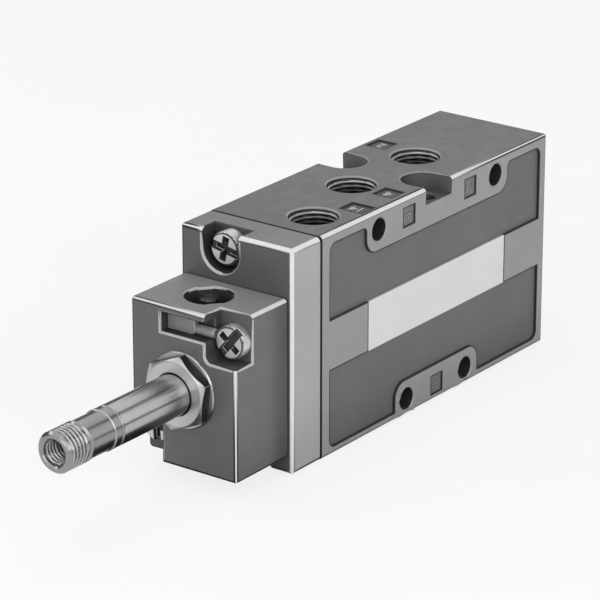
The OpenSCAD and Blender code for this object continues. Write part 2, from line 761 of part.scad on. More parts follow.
// Fixed core: plug in the tube, weld band, shank for the coil, thread and exhaust hole
module fixed_core() color("#aeb0b2") difference() {
    groove = 0.25;
    end_rim = 0.6;
    plug_r = tube_bore_r - seat_fit;
    thread_x = core_end + core_thread_len;
    relief = [thread_x + 0.3, thread_x + 0.8];
    ring = [thread_x + 1.1, thread_x + 1.4];
    shank = [thread_x + 1.6, weld_x - weld_band - 0.2];
    slot = [weld_x - 0.5, weld_x - 0.3];
    turned([
        [0, core_end], [coil_thread_r - end_rim, core_end], [coil_thread_r, core_end + end_rim],
        [coil_thread_r, thread_x], [relief_r, relief[0]], [relief_r, relief[1]],
        [coil_thread_r, ring[0]], [coil_thread_r, ring[1]], [core_r, shank[0]], [core_r, shank[1]],
        [tube_r, weld_x - weld_band], [tube_r, slot[0] - 0.2], [tube_r - groove, slot[0]],
        [tube_r - groove, slot[1]], [coil_thread_r, slot[1] + 0.2], [coil_thread_r, weld_x],
        [plug_r, weld_x], [plug_r, pole_x], [0, pole_x]
    ], tube_z);
    rod_x(exhaust_d / 2, core_end - cut, core_end + exhaust_depth, 0, tube_z);
    turned([
        [0, core_end - cut], [exhaust_d / 2 + exhaust_rim + cut, core_end - cut],
        [exhaust_d / 2, core_end + exhaust_rim], [0, core_end + exhaust_rim]
    ], tube_z);
    rod_x(vent_r, core_end, pole_x + cut, 0, tube_z);
}

// Sliding armature with two air grooves and the hole for its spring
module armature() color("#9da0a3") difference() {
    front_rim = 0.3;
    nose = 0.8;
    groove_w = 1.2;
    groove = 0.8;
    turned([
        [0, armature_front], [armature_r - front_rim, armature_front], [armature_r, armature_front + front_rim],
        [armature_r, armature_back - nose], [armature_r - nose, armature_back], [0, armature_back]
    ], tube_z);
    rod_x(armature_spring_d / 2 + spring_fit, armature_front - cut, armature_front + armature_hole, 0, tube_z);
    for (side = [-1, 1])
        translate([armature_front - cut, side * armature_r - groove, tube_z - groove_w / 2])
            cube([armature_len + 2 * cut, 2 * groove, groove_w]);
    rod_x(seal_disc_r + seat_fit, armature_back - seal_disc_t, armature_back + cut, 0, tube_z);
}

// Rubber disc in the armature's end that closes the pilot seat
module armature_seal() color("#2c2e30")
    rod_x(seal_disc_r, armature_back - seal_disc_t, seat_tip - stop_gap, 0, tube_z);

// Spring between armature and core
module armature_spring() color("#c9ccce") {
    start = armature_front + armature_hole;
    translate([start, 0, tube_z]) rotate([0, -90, 0])
        coil_spring((armature_spring_d - armature_wire) / 2, armature_wire, start - pole_x,
                    turns = 8, steps = 12, sides = 6);
}

// Nozzle that the armature closes
module pilot_seat() color("#b8995a") difference() {
    tip_r = 0.9;
    neck_r = 1.1;
    flange = [1.9, 0.5];
    spigot_r = channel_r - seat_fit;
    spigot_end = chamber_x + 1.1;
    turned([
        [0, seat_tip], [tip_r, seat_tip], [neck_r, chamber_x - flange[1]],
        [flange[0], chamber_x - flange[1]], [flange[0], chamber_x],
        [spigot_r, chamber_x], [spigot_r, spigot_end], [0, spigot_end]
    ], tube_z);
    rod_x(min(nozzle_d / 2, channel_r - 0.3), seat_tip - cut, spigot_end + cut, 0, tube_z);
}

// Bush that guides the override plunger, with a groove for the slide's tongue
module override_bush() color("#3b3d40") difference() {
    translate([override_at, override_y, bush_foot]) difference() {
        cylinder(r = bush_r, h = bush_len);
        translate([0, 0, -cut]) cylinder(r = plunger_r + run_fit, h = bush_len + 2 * cut);
        translate([0, 0, -cut]) cylinder(r = collar_r + run_fit, h = collar_top + stop_gap - bush_foot + cut);
    }
    translate([override_at - bush_r - cut, override_y - bush_r - cut, slot_foot - seat_fit])
        cube([cut + groove_deep, 2 * bush_r + 2 * cut, tongue_h + 2 * seat_fit]);
}

// Plunger that is pressed with a thin tool to move the valve by hand
module override_plunger() color("#5a5d60") translate([override_at, override_y, 0]) {
    low = collar_top - collar_t / 2 - ring_slot / 2;
    high = low + ring_slot;
    rim = 0.3;
    rotate_extrude() polygon([
        [0, stem_foot], [stem_r - rim, stem_foot], [stem_r, stem_foot + rim], [stem_r, collar_foot],
        [collar_r, collar_foot], [collar_r, low], [collar_r - ring_groove, low],
        [collar_r - ring_groove, high], [collar_r, high], [collar_r, collar_top],
        [plunger_r, collar_top], [plunger_r, plunger_top - rim], [plunger_r - rim, plunger_top],
        [0, plunger_top]
    ]);
}

// O-ring in the plunger's groove
module override_oring() color("#1d1e20")
    translate([override_at, override_y, collar_top - collar_t / 2]) rotate_extrude()
        translate([collar_r - ring_groove / 2, 0]) circle(ring_groove / 2 - 0.01, $fn = 24);

// Spring below the plunger's collar
module override_spring() color("#c9ccce")
    translate([override_at, override_y, bush_foot])
        coil_spring(collar_r - spring_fit - override_wire / 2, override_wire, collar_foot - bush_foot,
                    turns = 4, steps = 12, sides = 6);

// Slide that holds the bush: a bar with a tongue, and a rod that ends at the upper screw
module override_slide() color("#6f7275") {
    bar = slide_left - slide_step - seat_fit;
    difference() {
        union() {
            translate([slide_face, slide_step, slot_foot]) cube([slide_t - seat_fit, bar, slide_h - seat_fit]);
            translate([slide_face, slide_step, slot_foot])
                cube([override_at - bush_r + groove_deep - stop_gap - slide_face, bar, tongue_h]);
        }
        translate([slide_face - cut, slide_step, slot_foot]) rotate([90, 0, 90])
            linear_extrude(slide_t + 4 * cut) corner_round(0, 0, slide_corner, 1, 1);
    }
    translate([rod_at, rod_start, slot_foot + slide_rod_d / 2 + seat_fit]) rotate([90, 0, 0])
        cylinder(d = slide_rod_d, h = rod_end + rod_start);
}

// Spool: three lands and two necks, with the return spring's hole in its rear end
module spool() color("#a7aaad") {
    front = piston_back;
    n = spool_r - neck_d / 2;
    slope = n / 2;
    a = -1.5 * port_pitch - stroke / 2;
    b = -0.5 * port_pitch - stroke / 2;
    c = 0.5 * port_pitch - stroke / 2;
    d = 1.5 * port_pitch - stroke / 2;
    difference() {
        turned([
            [0, front], [spool_r - 0.4, front], [spool_r, front + 0.4],
            [spool_r, a], [spool_r - n, a + slope], [spool_r - n, b - slope], [spool_r, b],
            [spool_r, c], [spool_r - n, c + slope], [spool_r - n, d - slope], [spool_r, d],
            [spool_r, spool_back - 0.3], [spool_r - 0.3, spool_back], [0, spool_back]
        ], bore_z);
        rod_x(spring_bore_d / 2, spring_start, spool_back + cut, 0, bore_z);
    }
}

// Piston that pushes the spool, with a seal groove and a hollow front
module piston() color("#d8d9d6") {
    r = piston_bore_d / 2 - run_fit - 0.03;
    mid = (piston_front + piston_back) / 2;
    w = piston_seal_w / 2 + seat_fit;
    rim = 0.3;
    dish = 1;
    wall = [2.4, 3];
    turned([
        [0, piston_front + dish], [r - wall[1], piston_front + dish], [r - wall[0], piston_front],
        [r - rim, piston_front], [r, piston_front + rim], [r, mid - w], [r - piston_groove, mid - w],
        [r - piston_groove, mid + w], [r, mid + w], [r, piston_back - rim], [r - rim, piston_back],
        [0, piston_back]
    ], bore_z);
}

// Lip seal in the piston's groove
module piston_seal() color("#1d1e20") {
    r = piston_bore_d / 2 - run_fit;
    mid = (piston_front + piston_back) / 2;
    w = piston_seal_w / 2;
    foot = r - piston_groove;
    back = r - 0.3;
    lip = 0.2;
    turned([
        [foot, mid - w], [foot + 0.6, mid - w], [foot + 0.8, mid - w + 0.5], [back, mid - w],
        [r, mid - w + lip], [back, mid], [back, mid + w], [foot, mid + w]
    ], bore_z);
}

// Return spring in the spool's rear end
module return_spring() color("#c9ccce") {
    translate([spring_start, 0, bore_z]) rotate([0, 90, 0])
        coil_spring(spring_bore_d / 2 - return_fit - return_wire / 2, return_wire,
                    bore_back - spring_seat_t - spring_start, turns = 9);
}

// Round seat of the return spring on the rear wall
module spring_seat() color("#8d9093")
    rod_x(tail_r - seat_fit, bore_back - spring_seat_t, bore_back, 0, bore_z);

// Ring that closes the stack of seals and cages at the piston
module stack_retainer() color("#8d9093") difference() {
    rod_x(bore_r - seat_fit, piston_floor, -stack_end, 0, bore_z);
    rod_x(tail_r, piston_floor - cut, -stack_end + cut, 0, bore_z);
}

// Cage between two seals, at the port with the place k from -2 to 2
module cage(k) color("#c8c4b4") {
    half = (port_pitch - seal_slot) / 2;
    x = k * port_pitch;
    outer = bore_r - seat_fit;
    inner = spool_r + 0.6;
    waist_r = outer - 0.5;
    waist = half * 0.5;
    land = half * 0.55;
    difference() {
        turned([
            [inner, x - half], [outer, x - half], [outer, x - land], [waist_r, x - waist],
            [waist_r, x + waist], [outer, x + land], [outer, x + half], [inner, x + half]
        ], bore_z);
        for (a = [0, 60, 120])
            translate([x, 0, bore_z]) rotate([a, 0, 0])
                translate([0, 0, -bore_d]) cylinder(d = cage_hole_d, h = 2 * bore_d);
    }
}

// Seal round the spool, with the place k from -2.5 to 2.5 in steps of 1
module spool_seal(k) color("#1d1e20")
    round_ring(spool_r + run_fit + seal_section / 2, seal_section / 2, k * port_pitch, bore_z);

housing();
nameplate();
front_cover();
cover_gasket();
cover_screws();
pilot_block();
block_gasket();
block_screws();
tube_nut();
armature_tube();
tube_oring();
fixed_core();
armature();
armature_seal();
armature_spring();
pilot_seat();
override_bush();
override_plunger();
override_oring();
override_spring();
override_slide();
spool();
piston();
piston_seal();
return_spring();
spring_seat();
stack_retainer();
cage(-2);  // cage_5
cage(-1);  // cage_4
cage(0);  // cage_1
cage(1);  // cage_2
cage(2);  // cage_3
spool_seal(-2.5);  // spool_seal_a
spool_seal(-1.5);  // spool_seal_b
spool_seal(-0.5);  // spool_seal_c
spool_seal(0.5);  // spool_seal_d
spool_seal(1.5);  // spool_seal_e
spool_seal(2.5);  // spool_seal_f
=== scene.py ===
# Looks of a directional control valve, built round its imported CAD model, in metres.
import json
import math

import bmesh
import bpy
from mathutils import Matrix, Vector

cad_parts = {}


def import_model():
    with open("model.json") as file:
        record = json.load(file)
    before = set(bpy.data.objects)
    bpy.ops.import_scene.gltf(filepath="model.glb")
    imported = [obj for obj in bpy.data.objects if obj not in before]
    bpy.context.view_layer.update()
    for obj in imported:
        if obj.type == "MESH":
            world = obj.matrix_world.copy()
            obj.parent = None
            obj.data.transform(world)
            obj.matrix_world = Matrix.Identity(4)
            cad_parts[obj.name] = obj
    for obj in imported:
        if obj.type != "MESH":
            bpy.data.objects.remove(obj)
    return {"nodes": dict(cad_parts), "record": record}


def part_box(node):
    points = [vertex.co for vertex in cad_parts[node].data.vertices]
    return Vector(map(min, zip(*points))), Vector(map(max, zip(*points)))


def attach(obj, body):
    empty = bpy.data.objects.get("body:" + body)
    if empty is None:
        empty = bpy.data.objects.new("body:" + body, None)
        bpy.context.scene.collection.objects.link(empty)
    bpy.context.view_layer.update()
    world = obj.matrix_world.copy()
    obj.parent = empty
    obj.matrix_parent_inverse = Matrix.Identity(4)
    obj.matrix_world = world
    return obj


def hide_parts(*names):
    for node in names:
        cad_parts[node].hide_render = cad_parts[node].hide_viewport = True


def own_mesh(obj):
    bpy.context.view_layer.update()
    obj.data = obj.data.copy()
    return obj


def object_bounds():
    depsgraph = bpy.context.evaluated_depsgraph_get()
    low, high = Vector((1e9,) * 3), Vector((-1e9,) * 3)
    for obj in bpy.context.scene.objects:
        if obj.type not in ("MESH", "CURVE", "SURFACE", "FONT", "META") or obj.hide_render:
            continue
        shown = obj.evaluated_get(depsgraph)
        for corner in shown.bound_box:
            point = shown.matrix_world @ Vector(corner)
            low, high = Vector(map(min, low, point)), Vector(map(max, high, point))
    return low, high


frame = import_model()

MM = 0.001
NODES = frame["nodes"]
CAD_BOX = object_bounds()

# Camera: where it aims, how it is turned, how far it stands off, and its lens
AIM = Vector((-3, 0, 22)) * MM
YAW = math.radians(36.52)
PITCH = math.radians(20.86)
DISTANCE = 690 * MM
SIDE_STEP = 14.42 * MM
RISE = 3.26 * MM
LENS_PIXELS = 3542
FRAME_PIXELS = 600
SENSOR = 36
NEAREST = 10 * MM

# Sizes that part.scad holds too, in mm
EDGE_R = 0.8
COVER_R = 1.0
PORT_R = 4.865
PORT_CHAMFER = 0.3
PORT_DEPTH = 8
PORT_PITCH = 10.7
PILOT_PORT = (-29.5, -4.8)
PANEL_DEPTH = 0.5
LABEL_DEPTH = 0.3
UPPER_DROP = 3.8
LOWER_RISE = 3.2
EXHAUST_R = 2.5
EXHAUST_DEPTH = 8
VENT_R = 0.8
CORE_THREAD_LEN = 5.1
WELD_BAND = 2.3

# Radius of the screws' heads and (y, z) of each, also as in part.scad
SCREW_HEADS = {
    "cover_screws": (3.25, ((3.6, 40.85), (3.6, 3.65))),
    "block_screws": (3.2, ((-8.6, 29.65), (8.6, 9.15))),
}

# Width in mm of the painted shade lines round sunk places, on the top and on the sides, and of the dark
# joint lines along seams
TOP_LINE = 0.34
SIDE_LINE = 0.24
SEAM_LINE = 0.16
LINED_SIDES = (
    (Vector((0, 0, 1)), TOP_LINE),
    (Vector((0, -1, 0)), SIDE_LINE),
    (Vector((0, 1, 0)), SIDE_LINE),
)

# Threads: depth and pitch in mm, the share of a pitch that is flat, how fast the ends fade, the rows of
# points in a pitch, and the points in a turn
PORT_THREAD = (0.45, 0.907)
HOLE_THREAD = (0.36, 0.8)
CORE_THREAD = (0.5, 0.9)
THREAD_FLAT = 0.16
THREAD_FADE = 1.6
THREAD_ROWS = 12
TURN_STEPS = 96

# Points of a mesh that lie closer than this, in metres, are one
WELD = 2e-6

# Turns in degrees up to which a surface counts as flat, and as smooth, also on a spring's wire
FLAT_DEGREES = 0.6
SMOOTH_DEGREES = 38
SPRING_DEGREES = 60

# Least straightness of a face that looks along an axis, and what counts as near and as touching, in mm
STRAIGHT = 0.999
SLACK = 0.05
TOUCH = 0.01

# Least depth of a recess in mm
RECESS_DEPTH = 0.6

# How far back from their fronts the screws' slots, the nut's flats and the cover's front edge reach, in mm
SLOT_REACH = 2.2
FLATS_REACH = 2.2
FRONT_REACH = 1.5

# How far inside the housing's box an edge still shows, and how far in a hole's rim reaches, in mm
SHOWN_REACH = 3.7
RIM_REACH = 0.3

# The button's recess in mm: how far it reaches from its axis, and between which depths it lies
WELL_REACH = 6.4
WELL_DEPTHS = (0.3, 12)

# Width in mm of the fine chamfers on the screws' heads
SCREW_CHAMFER = 0.08

# Places of the materials on a painted piece, whose own paint is at 0
EDGE_SLOT, RECESS_SLOT, LINE_SLOT, SQUARE_SLOT, RIM_SLOT = 1, 2, 3, 4, 5


# Mesh helpers

def to_mesh(name, bm):
    """Turns a bmesh into a named mesh."""
    mesh = bpy.data.meshes.new(name)
    bm.to_mesh(mesh)
    bm.free()
    return mesh


def add_piece(name, mesh, materials):
    """Adds a piece of the standing body."""
    for material in materials:
        mesh.materials.append(material)
    piece = bpy.data.objects.new(name, mesh)
    bpy.context.scene.collection.objects.link(piece)
    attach(piece, "valve_body")
    return piece


def smooth_by_angle(bm, degrees=SMOOTH_DEGREES):
    """Smooth faces everywhere, with a sharp edge wherever the surface turns by more."""
    limit = math.radians(degrees)
    for face in bm.faces:
        face.smooth = True
    for edge in bm.edges:
        edge.smooth = edge.calc_face_angle(math.pi) < limit


def weighted_normals(piece):
    """Lets large faces set the shading, so that flats beside chamfers look flat."""
    modifier = piece.modifiers.new("normals", "WEIGHTED_NORMAL")
    modifier.keep_sharp = True
    modifier.mode = "FACE_AREA_WITH_ANGLE"


def joined_mesh(node):
    """The CAD node's mesh with its points joined, all in the first material."""
    bm = bmesh.new()
    bm.from_mesh(NODES[node].data)
    bmesh.ops.remove_doubles(bm, verts=bm.verts, dist=WELD)
    for face in bm.faces:
        face.material_index = 0
    return bm


def cad_mesh(node):
    """The CAD node's mesh with its flat faces whole, ready for chamfers."""
    bm = joined_mesh(node)
    bmesh.ops.dissolve_limit(
        bm, angle_limit=math.radians(FLAT_DEGREES), verts=bm.verts, edges=bm.edges,
        use_dissolve_boundaries=False,
    )
    bm.normal_update()
    return bm


def chamfer(bm, width, wanted, degrees=50):
    """Rounds the outward edges that turn by more than some degrees. Their faces get the rims' material, on
    the cast pieces, the slide and the screws a painted highlight.
    """
    limit = math.radians(degrees)
    edges = [
        edge for edge in bm.edges
        if edge.is_convex and edge.calc_face_angle(0) > limit and wanted(edge)
    ]
    bmesh.ops.bevel(
        bm, geom=edges, offset=width * MM, offset_type="OFFSET", segments=2, profile=0.6,
        affect="EDGES", clamp_overlap=False, material=RIM_SLOT, loop_slide=True,
    )
    bm.normal_update()


def near_axes(point, low, high, reach):
    """On how many axes a point lies within reach of an outer box's sides."""
    return sum(min(point[k] - low[k], high[k] - point[k]) < reach for k in range(3))


def straightness(face):
    """1 where a face looks straight along an axis, and less where it slants."""
    return max(abs(part) for part in face.normal)


def extent(face, axis):
    """How far a face reaches along an axis."""
    places = [vert.co[axis] for vert in face.verts]
    return max(places) - min(places)


def inset(face, low, high):
    """How far a face's middle lies inside an outer box."""
    middle = face.calc_center_median()
    return min(min(middle[k] - low[k], high[k] - middle[k]) for k in range(3))


def is_step(face):
    """Whether a face is the low wall of a sunk panel or square."""
    for k in (1, 2):
        upright = abs(face.normal[k]) < 0.05
        if upright and 0.1 * MM < extent(face, k) < (PANEL_DEPTH + SLACK) * MM:
            return True
    return False


def in_rounding(edge, low, high, radius):
    """Whether an edge runs over an outer box's rounded edge, where facets leave no room for a chamfer."""
    middle = (edge.verts[0].co + edge.verts[1].co) / 2
    return near_axes(middle, low, high, radius * MM * 0.98) >= 2


def mark_roundings(bm, low, high, radius):
    """Gives the edge material, a painted highlight, to the faces of an outer box's rounded edges."""
    for face in bm.faces:
        near = near_axes(face.calc_center_median(), low, high, radius * MM)
        if near >= 2 and face.material_index == 0 and straightness(face) < 0.98:
            face.material_index = EDGE_SLOT


def mark_rims(bm, low, high):
    """Gives the rims' material, a painted highlight, to the slanted rims of holes in an outer box's faces.
    """
    for face in bm.faces:
        slanted = straightness(face) < 0.9
        if slanted and face.material_index == 0 and inset(face, low, high) < RIM_REACH * MM:
            face.material_index = RIM_SLOT


def mark_recesses(bm, low, high):
    """Gives the recess material, a painted shade, to the faces that lie well inside an outer box."""
    for face in bm.faces:
        if inset(face, low, high) > RECESS_DEPTH * MM:
            face.material_index = RECESS_SLOT


def mark_steps(bm, low, high):
    """Darkens the low walls of sunk panels and squares with painted shade, and gives the squares' floors
    their own paint.
    """
    for face in bm.faces:
        gap = inset(face, low, high)
        facing = max(abs(face.normal.y), abs(face.normal.z))
        if gap < PANEL_DEPTH * MM and is_step(face):
            face.material_index = LINE_SLOT
        elif abs(gap - LABEL_DEPTH * MM) < 2 * TOUCH * MM and facing > STRAIGHT:
            face.material_index = SQUARE_SLOT


def mark_lines(bm, low, high):
    """Paints a thin line of shade beside each low wall, on the top and on both sides of an outer box."""
    for toward, width in LINED_SIDES:
        outer = [
            face for face in bm.faces
            if face.normal.dot(toward) > STRAIGHT and face.material_index == 0
            and inset(face, low, high) < TOUCH * MM
        ]
        ring = bmesh.ops.inset_region(bm, faces=outer, thickness=width * MM, use_even_offset=True)
        for face in ring["faces"]:
            for vert in face.verts:
                for k in range(3):
                    vert.co[k] = min(max(vert.co[k], low[k]), high[k])
            beside = [near for edge in face.edges for near in edge.link_faces]
            if any(near.material_index == LINE_SLOT and is_step(near) for near in beside):
                face.material_index = LINE_SLOT


def places(part):
    """The places of the points of a mesh's point, edge or face, to sort by."""
    verts = [part] if isinstance(part, bmesh.types.BMVert) else part.verts
    return sorted(tuple(vert.co) for vert in verts)


def put_in_order(bm):
    """Sorts points, edges and faces by place, because a cut leaves them in an order that varies by run."""
    for parts in (bm.verts, bm.edges, bm.faces):
        ranks = {part: rank for rank, part in enumerate(sorted(parts, key=places))}
        parts.sort(key=ranks.get)
        parts.index_update()


def mark_seam(bm, seam):
    """Darkens a narrow strip beside a seam at some x in mm."""
    low_x = min(vert.co.x for vert in bm.verts)
    inward = 1 if seam * MM < low_x + TOUCH * MM else -1
    cut = (seam + inward * SEAM_LINE) * MM
    geom = bm.verts[:] + bm.edges[:] + bm.faces[:]
    bmesh.ops.bisect_plane(bm, geom=geom, dist=1e-7, plane_co=(cut, 0, 0), plane_no=(1, 0, 0))
    put_in_order(bm)
    for face in bm.faces:
        if (face.calc_center_median().x - cut) * inward < 0:
            face.material_index = LINE_SLOT


def stand_in(node, bm, materials):
    """Puts a dressed mesh in the place of its CAD node."""
    smooth_by_angle(bm)
    name = node + "_body"
    piece = add_piece(name, to_mesh(name, bm), materials)
    weighted_normals(piece)
    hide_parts(node)


def chamfered(
    node, materials, width, degrees=50, wanted=None, radius=0.0, lines=False, seam=None, mark=None
):
    """A CAD node's shape with the fine chamfers of its outward edges, width mm wide.

    radius is that of a cast piece's rounded edges. lines asks for lines of painted shade round sunk places,
    seam is the place of a seam, and mark is a function that marks more faces."""
    bm = cad_mesh(node)
    low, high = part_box(node)

    def takes_chamfer(edge):
        """Whether an edge is wanted and isn't part of a rounding."""
        return (wanted is None or wanted(edge)) and not in_rounding(edge, low, high, radius)

    chamfer(bm, width, takes_chamfer, degrees)
    if radius:
        mark_roundings(bm, low, high, radius)
        mark_rims(bm, low, high)
        mark_recesses(bm, low, high)
    if lines:
        mark_steps(bm, low, high)
        mark_lines(bm, low, high)
    if seam is not None:
        mark_seam(bm, seam)
    if mark:
        mark(bm)
    stand_in(node, bm, materials)


def screws(node):
    """Screws with chamfered heads, a painted highlight on the chamfers and painted shade in the crossed
    slots.
    """
    bm = cad_mesh(node)
    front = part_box(node)[0].x
    radius, heads = SCREW_HEADS[node]
    for face in bm.faces:
        middle = face.calc_center_median()
        off = min(math.hypot(middle.y - y * MM, middle.z - z * MM) for y, z in heads)
        if off < (radius - 0.1) * MM and SLACK * MM < middle.x - front < SLOT_REACH * MM:
            face.material_index = RECESS_SLOT
    chamfer(bm, SCREW_CHAMFER, lambda edge: True)
    stand_in(node, bm, SCREW_MATERIALS)


def wave(turns):
    """Thread profile from 0 on the flat of the thread's wall to 1 on its far side."""
    rise = abs(2 * (turns % 1) - 1)
    return min(max((rise - THREAD_FLAT) / (1 - 2 * THREAD_FLAT), 0), 1)


def turned(name, profile, centre, turn, materials, pick):
    """A closed profile of (along, radius, thread depth, pitch) in mm, turned about an axis along local Z.

    pick gives a face's material from its place along the axis and its radius, both in mm."""
    bm = bmesh.new()
    rings = []
    for along, radius, depth, pitch in profile:
        ring = []
        for k in range(TURN_STEPS):
            angle = 2 * math.pi * k / TURN_STEPS
            r = radius - (depth * wave(along / pitch + k / TURN_STEPS) if depth else 0)
            ring.append(bm.verts.new(Vector((r * math.cos(angle), r * math.sin(angle), along)) * MM))
        rings.append(ring)
    for i, ring in enumerate(rings):
        after = rings[(i + 1) % len(rings)]
        for k in range(TURN_STEPS):
            j = (k + 1) % TURN_STEPS
            face = bm.faces.new((ring[k], after[k], after[j], ring[j]))
            middle = face.calc_center_median() / MM
            face.material_index = pick(middle.z, math.hypot(middle.x, middle.y))
    bmesh.ops.recalc_face_normals(bm, faces=bm.faces)
    bm.transform(Matrix.Translation(centre) @ turn)
    smooth_by_angle(bm)
    piece = add_piece(name, to_mesh(name, bm), materials)
    weighted_normals(piece)
    return piece


def unthreaded(points):
    """Profile points of a stretch without a thread, from (along, radius)."""
    return [(along, radius, 0, 1) for along, radius in points]


def threaded(start, end, radius, thread):
    """Profile points of a threaded stretch, with its depth fading at both ends."""
    depth, pitch = thread
    count = max(2, round(abs(end - start) / pitch * THREAD_ROWS))
    points = []
    for i in range(count + 1):
        along = start + (end - start) * i / count
        fade = min(1, i / THREAD_ROWS * THREAD_FADE, (count - i) / THREAD_ROWS * THREAD_FADE)
        points.append((along, radius, max(depth * fade, 1e-6), pitch))
    return points


# Material helpers

def linear(grey):
    """Linear value of a display grey from 0 to 255."""
    part = grey / 255
    return part / 12.92 if part <= 0.04045 else ((part + 0.055) / 1.055) ** 2.4


class Nodes:
    """A node material with short calls for the nodes that these materials share."""

    def __init__(self, name):
        self.material = bpy.data.materials.new(name)
        self.material.use_nodes = True
        self.tree = self.material.node_tree
        self.shader = self.tree.nodes["Principled BSDF"]
        self.place = self.add("ShaderNodeTexCoord")

    def add(self, kind, **settings):
        node = self.tree.nodes.new(kind)
        for key, value in settings.items():
            setattr(node, key, value)
        return node

    def link(self, source, target):
        self.tree.links.new(source, target)

    def socket(self, value, target):
        """Sets a socket to a number, or links it to another socket."""
        if isinstance(value, (int, float)):
            target.default_value = value
        else:
            self.link(value, target)

    def math(self, operation, a, b=0.0):
        node = self.add("ShaderNodeMath", operation=operation)
        self.socket(a, node.inputs[0])
        self.socket(b, node.inputs[1])
        return node.outputs[0]

    def noise(self, per_mm, detail=3.0, rough=0.55, stretch=(1, 1, 1), seed=0.0):
        """Noise with per_mm features in a millimetre, pulled out along an axis by a small stretch value."""
        mapping = self.add("ShaderNodeMapping")
        mapping.inputs["Scale"].default_value = stretch
        mapping.inputs["Location"].default_value = (seed, seed * 0.7, seed * 1.3)
        self.link(self.place.outputs["Object"], mapping.inputs["Vector"])
        noise = self.add("ShaderNodeTexNoise")
        noise.inputs["Scale"].default_value = per_mm / MM
        noise.inputs["Detail"].default_value = detail
        noise.inputs["Roughness"].default_value = rough
        self.link(mapping.outputs["Vector"], noise.inputs["Vector"])
        return noise.outputs["Fac"]

    def spread(self, fac, low, high, start=0.3, end=0.7, smooth=False):
        """Maps fac between start and end to a value between low and high."""
        node = self.add("ShaderNodeMapRange")
        node.interpolation_type = "SMOOTHSTEP" if smooth else "LINEAR"
        for name, value in (("From Min", start), ("From Max", end), ("To Min", low), ("To Max", high)):
            self.socket(value, node.inputs[name])
        self.link(fac, node.inputs["Value"])
        return node.outputs["Result"]

    def mix(self, fac, a, b):
        """A value that goes from a to b as fac goes from 0 to 1."""
        return self.spread(fac, a, b, 0.0, 1.0)

    def axis(self, output, index):
        """One part of a texture coordinate: Object is the place, Normal the way a face looks."""
        split = self.add("ShaderNodeSeparateXYZ")
        self.link(self.place.outputs[output], split.inputs[0])
        return split.outputs[index]

    def grey(self, value, tint=(1, 1, 1)):
        """Sets the base colour to a grey value, times a tint."""
        colour = self.add("ShaderNodeCombineColor")
        for k in range(3):
            self.socket(self.math("MULTIPLY", value, tint[k]), colour.inputs[k])
        self.link(colour.outputs[0], self.shader.inputs["Base Color"])

    def bump(self, height, strength, depth):
        """Bump of the given depth in mm."""
        node = self.add("ShaderNodeBump")
        node.inputs["Strength"].default_value = strength
        node.inputs["Distance"].default_value = depth * MM
        self.link(height, node.inputs["Height"])
        self.link(node.outputs["Normal"], self.shader.inputs["Normal"])

    def set(self, **values):
        """Sets or links the shader's sockets by name."""
        for key, value in values.items():
            self.socket(value, self.shader.inputs[key.replace("_", " ")])


def speckled(nodes, value):
    """A grey value with fine grain and broad soft patches."""
    grain = nodes.spread(nodes.noise(4.0, 2.0), 0.94, 1.06, 0.35, 0.65)
    patches = nodes.spread(nodes.noise(0.06, 2.0, seed=0.31), 0.95, 1.05, 0.35, 0.65)
    return nodes.math("MULTIPLY", nodes.math("MULTIPLY", value, grain), patches)


def cast_bump(nodes):
    """The fine uneven surface of painted castings."""
    nodes.bump(nodes.noise(3.2, 4.0, 0.6, seed=0.2), 0.25, 0.02)


def cast_paint(name, top, side, front, deep=None, face_y=None, rough=0.5, seam=None):
    """Fine satin paint on cast metal, with a grey for each pair of faces that is partly two-tone paint and
    partly painted light and shade for how the lamps fall on the top, the sides and the front.

    deep is the grey of panels sunk in the sides, which lie at face_y. seam is the place along the valve, in
    mm, of a seam that the sides darken towards with painted shade."""
    nodes = Nodes(name)
    facing = [nodes.math("ABSOLUTE", nodes.axis("Normal", k)) for k in range(3)]
    side_value = linear(side)
    if deep is not None:
        out = nodes.math("ABSOLUTE", nodes.axis("Object", 1))
        sunk_y = face_y - 0.3 * MM
        raised_y = face_y - 0.15 * MM
        side_value = nodes.spread(out, linear(deep), linear(side), sunk_y, raised_y)
    # Painted shade: the sides darken towards the seam
    if seam is not None:
        along = nodes.axis("Object", 0)
        shaded = linear(side) * 0.42
        shade_start = (seam - 7) * MM
        shade_end = (seam - 0.5) * MM
        side_value = nodes.spread(along, linear(side), shaded, shade_start, shade_end, smooth=True)
    # Painted light and shade: each face direction gets its own grey, as the lamps light the top, sides and
    # front
    value = nodes.mix(nodes.spread(facing[1], 0, 1, 0.6, 0.8), linear(top), side_value)
    value = nodes.mix(nodes.spread(facing[0], 0, 1, 0.6, 0.8), value, linear(front))
    nodes.grey(speckled(nodes, value))
    nodes.set(Roughness=nodes.spread(nodes.noise(0.4, 3.0, seed=0.7), rough - 0.06, rough + 0.08))
    cast_bump(nodes)
    return nodes.material


def away(nodes):
    """Mask of the edges' painted shade: 1 where a rounding looks down, or starts to turn to the far side or
    the rear end, else 0.
    """
    turned_away = nodes.spread(nodes.axis("Normal", 2), 1, 0, -0.12, 0.0, smooth=True)
    for k in (0, 1):
        out = nodes.axis("Normal", k)
        starts = nodes.spread(out, 0, 1, 0.0, 0.12, smooth=True)
        ends = nodes.spread(out, 1, 0, 0.6, 0.74, smooth=True)
        turned_away = nodes.math("MAXIMUM", turned_away, nodes.math("MULTIPLY", starts, ends))
    return turned_away


